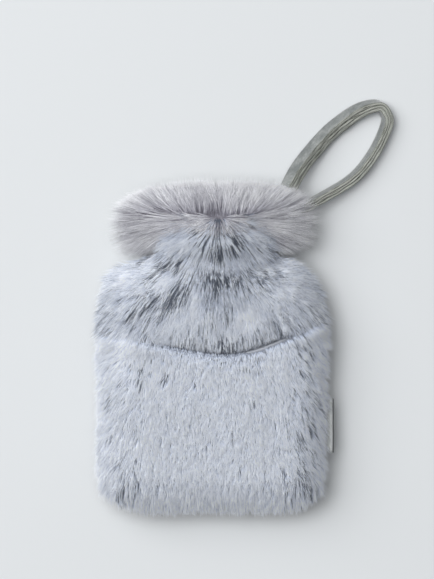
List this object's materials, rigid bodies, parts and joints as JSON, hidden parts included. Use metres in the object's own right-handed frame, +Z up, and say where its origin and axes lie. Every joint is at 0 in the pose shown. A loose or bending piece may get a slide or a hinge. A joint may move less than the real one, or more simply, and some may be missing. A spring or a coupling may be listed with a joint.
{
  "type": "hot water bottle cover",
  "caption": "Hollow long-pile fur cover for a small hot water bottle, lying on its back, with a ruff around the neck, a lapped front and a hanging strap loop.",
  "frame": {"origin": "middle of the box around the cover without its hanging loop, on the surface it lies on", "axes": "+X across the cover to the side with the tab, +Y from the foot to the neck and ruff, +Z up from the surface through the front"},
  "size_m": [0.2162, 0.2982, 0.05],
  "materials": {
    "fur": "long soft pile, pale lavender grey tips over dark slate roots",
    "ruff_fur": "longer soft pile, warm mauve grey with pale tips",
    "velvet": "short-pile velvet strap, folded and stitched, greenish grey with a soft sheen",
    "ribbon": "plain pale grey satin ribbon, blank"
  },
  "bodies": {
    "root": {"back_panel": "fur", "front_lower": "fur", "front_upper": "fur", "neck_ruff": "ruff_fur", "hanging_loop": "velvet", "side_tab": "ribbon"}
  },
  "joints": []
}
